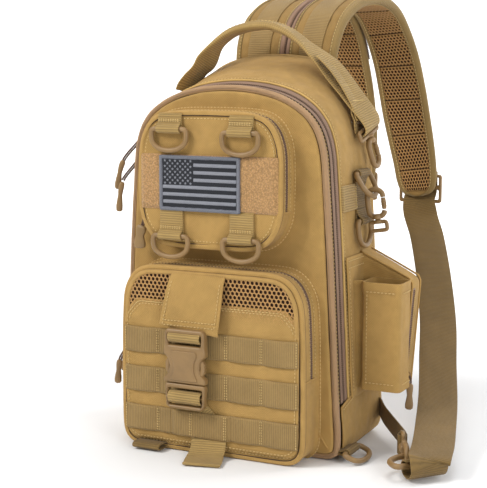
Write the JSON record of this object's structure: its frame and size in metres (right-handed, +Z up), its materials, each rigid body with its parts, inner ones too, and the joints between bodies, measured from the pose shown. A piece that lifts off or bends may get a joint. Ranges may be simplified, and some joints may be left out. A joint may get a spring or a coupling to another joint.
{
  "type": "fishing tackle sling bag",
  "caption": "Soft tackle backpack with zipped body, front pockets, webbing rows, flag patch, buckle flap, snap hooks, side sleeve and arched padded shoulder straps.",
  "frame": {"origin": "middle of the base, on the floor under the main body", "axes": "+Z up, the pockets face -Y, the back pad and shoulder straps face +Y, +X is to the right when the pockets are looked at"},
  "size_m": [0.3902, 0.4415, 0.4451],
  "materials": {
    "cloth": "coyote tan woven polyester",
    "webbing": "ribbed woven webbing",
    "mesh": "open spacer mesh",
    "zip_tape": "woven zip tape with coil",
    "loop_pile": "loop pile",
    "patch": "embroidered",
    "moulded": "satin moulded"
  },
  "bodies": {
    "bag": {"front_shell": "cloth", "main_zip": "zip_tape", "back_pad": "mesh", "upper_pocket": "cloth", "lower_pocket": "cloth", "loop_panel": "loop_pile", "flag_patch": "patch", "molle_panel": "cloth", "molle_row_top": "webbing", "molle_row_middle": "webbing", "molle_row_bottom": "webbing", "buckle_flap": "cloth", "buckle_socket": "moulded", "buckle_plug": "moulded", "buckle_strap": "webbing", "tab_upper_left": "webbing", "tab_upper_right": "webbing", "tab_lower_left": "webbing", "tab_lower_right": "webbing", "carry_handle": "webbing", "handle_swivel": "moulded", "side_ring_tab": "webbing", "side_sleeve": "cloth", "side_pouch": "cloth", "mesh_pocket": "mesh", "tab_left": "webbing", "strap_right": "cloth", "strap_left": "cloth", "ladder_lock_right": "moulded", "end_ring_right": "moulded", "lower_webbing_right": "webbing", "floor_right_hook": "moulded", "ladder_lock_left": "moulded", "end_ring_left": "moulded", "lower_webbing_left": "webbing", "floor_left_hook": "moulded", "rear_shell": "cloth", "bottom_tab": "webbing", "main_pull_rear": "moulded", "main_pull_front": "moulded", "upper_pull": "moulded", "lower_pull": "moulded"},
    "ring_upper_left": {"ring_upper_left": "moulded"},
    "ring_upper_right": {"ring_upper_right": "moulded"},
    "ring_lower_left": {"ring_lower_left": "moulded"},
    "ring_lower_right": {"ring_lower_right": "moulded"},
    "ring_side_lower": {"ring_side_lower": "moulded"},
    "ring_left": {"ring_left": "moulded"},
    "ring_right_strap_upper": {"ring_right_strap_upper": "moulded"},
    "ring_right_strap_lower": {"ring_right_strap_lower": "moulded"},
    "ring_left_strap_upper": {"ring_left_strap_upper": "moulded"},
    "ring_left_strap_lower": {"ring_left_strap_lower": "moulded"},
    "bottom_ring": {"bottom_ring": "moulded"},
    "ring_side_upper": {"ring_side_upper": "moulded", "side_hook": "moulded"},
    "handle_hook": {"handle_hook": "moulded"},
    "handle_gate": {"handle_gate": "moulded"},
    "side_gate": {"side_gate": "moulded"},
    "floor_right_gate": {"floor_right_gate": "moulded"},
    "floor_left_gate": {"floor_left_gate": "moulded"}
  },
  "joints": [
    {"name": "ring_upper_left_turn", "type": "hinge", "parent": "bag", "child": "ring_upper_left", "pos_m": [-0.046, -0.08945, 0.312], "axis": [-1, 0, 0], "range_deg": [0, 100]},
    {"name": "ring_upper_right_turn", "type": "hinge", "parent": "bag", "child": "ring_upper_right", "pos_m": [0.0295, -0.08945, 0.31], "axis": [-1, 0, 0], "range_deg": [0, 100]},
    {"name": "ring_lower_left_turn", "type": "hinge", "parent": "bag", "child": "ring_lower_left", "pos_m": [-0.045, -0.08945, 0.21], "axis": [-1, 0, 0], "range_deg": [0, 100]},
    {"name": "ring_lower_right_turn", "type": "hinge", "parent": "bag", "child": "ring_lower_right", "pos_m": [0.03, -0.08945, 0.21], "axis": [-1, 0, 0], "range_deg": [0, 100]},
    {"name": "ring_side_lower_turn", "type": "hinge", "parent": "bag", "child": "ring_side_lower", "pos_m": [0.11191, 0.018, 0.222], "axis": [0, -1, 0], "range_deg": [0, 50]},
    {"name": "ring_left_turn", "type": "hinge", "parent": "bag", "child": "ring_left", "pos_m": [-0.10689, 0.026, 0.288], "axis": [0, 1, 0], "range_deg": [0, 100]},
    {"name": "ring_right_strap_upper_turn", "type": "hinge", "parent": "bag", "child": "ring_right_strap_upper", "pos_m": [0.0537, 0.2605, 0.39283], "axis": [0.993, -0.0598, 0.1019], "range_deg": [0, 90]},
    {"name": "ring_right_strap_lower_turn", "type": "hinge", "parent": "bag", "child": "ring_right_strap_lower", "pos_m": [0.06123, 0.29685, 0.30391], "axis": [0.9937, -0.0289, 0.1082], "range_deg": [0, 90]},
    {"name": "ring_left_strap_upper_turn", "type": "hinge", "parent": "bag", "child": "ring_left_strap_upper", "pos_m": [-0.0065, 0.2605, 0.39283], "axis": [1, 0, 0], "range_deg": [0, 90]},
    {"name": "ring_left_strap_lower_turn", "type": "hinge", "parent": "bag", "child": "ring_left_strap_lower", "pos_m": [-0.0065, 0.29685, 0.30391], "axis": [1, 0, 0], "range_deg": [0, 90]},
    {"name": "bottom_ring_turn", "type": "hinge", "parent": "bag", "child": "bottom_ring", "pos_m": [0.1252, -0.044, 0.0086], "axis": [0, -1, 0], "range_deg": [0, 100]},
    {"name": "ring_side_upper_turn", "type": "hinge", "parent": "bag", "child": "ring_side_upper", "pos_m": [0.10888, 0.018, 0.268], "axis": [0, -1, 0], "range_deg": [0, 60]},
    {"name": "handle_hook_swivel", "type": "hinge", "parent": "bag", "child": "handle_hook", "pos_m": [0.10997, 0.03621, 0.29955], "axis": [0.19, 0.247, -0.9502], "range_deg": [-35, 35]},
    {"name": "handle_gate_press", "type": "hinge", "parent": "handle_hook", "child": "handle_gate", "pos_m": [0.11157, 0.04613, 0.2936], "axis": [-0.9818, 0.0478, -0.1839], "range_deg": [0, 18], "stiffness_Nm_per_rad": 0.02, "springref_deg": -17.19},
    {"name": "side_gate_press", "type": "hinge", "parent": "ring_side_upper", "child": "side_gate", "pos_m": [0.13223, 0.018, 0.23479], "axis": [0, -1, 0], "range_deg": [0, 18], "stiffness_Nm_per_rad": 0.02, "springref_deg": -17.19},
    {"name": "floor_right_gate_press", "type": "hinge", "parent": "bag", "child": "floor_right_gate", "pos_m": [0.17787, -0.04068, 0.0211], "axis": [0.8986, 0.4388, 0], "range_deg": [0, 18], "stiffness_Nm_per_rad": 0.02, "springref_deg": -17.19},
    {"name": "floor_left_gate_press", "type": "hinge", "parent": "bag", "child": "floor_left_gate", "pos_m": [-0.12653, 0.11378, 0.0211], "axis": [-0.9911, -0.1328, 0], "range_deg": [0, 18], "stiffness_Nm_per_rad": 0.02, "springref_deg": -17.19}
  ]
}
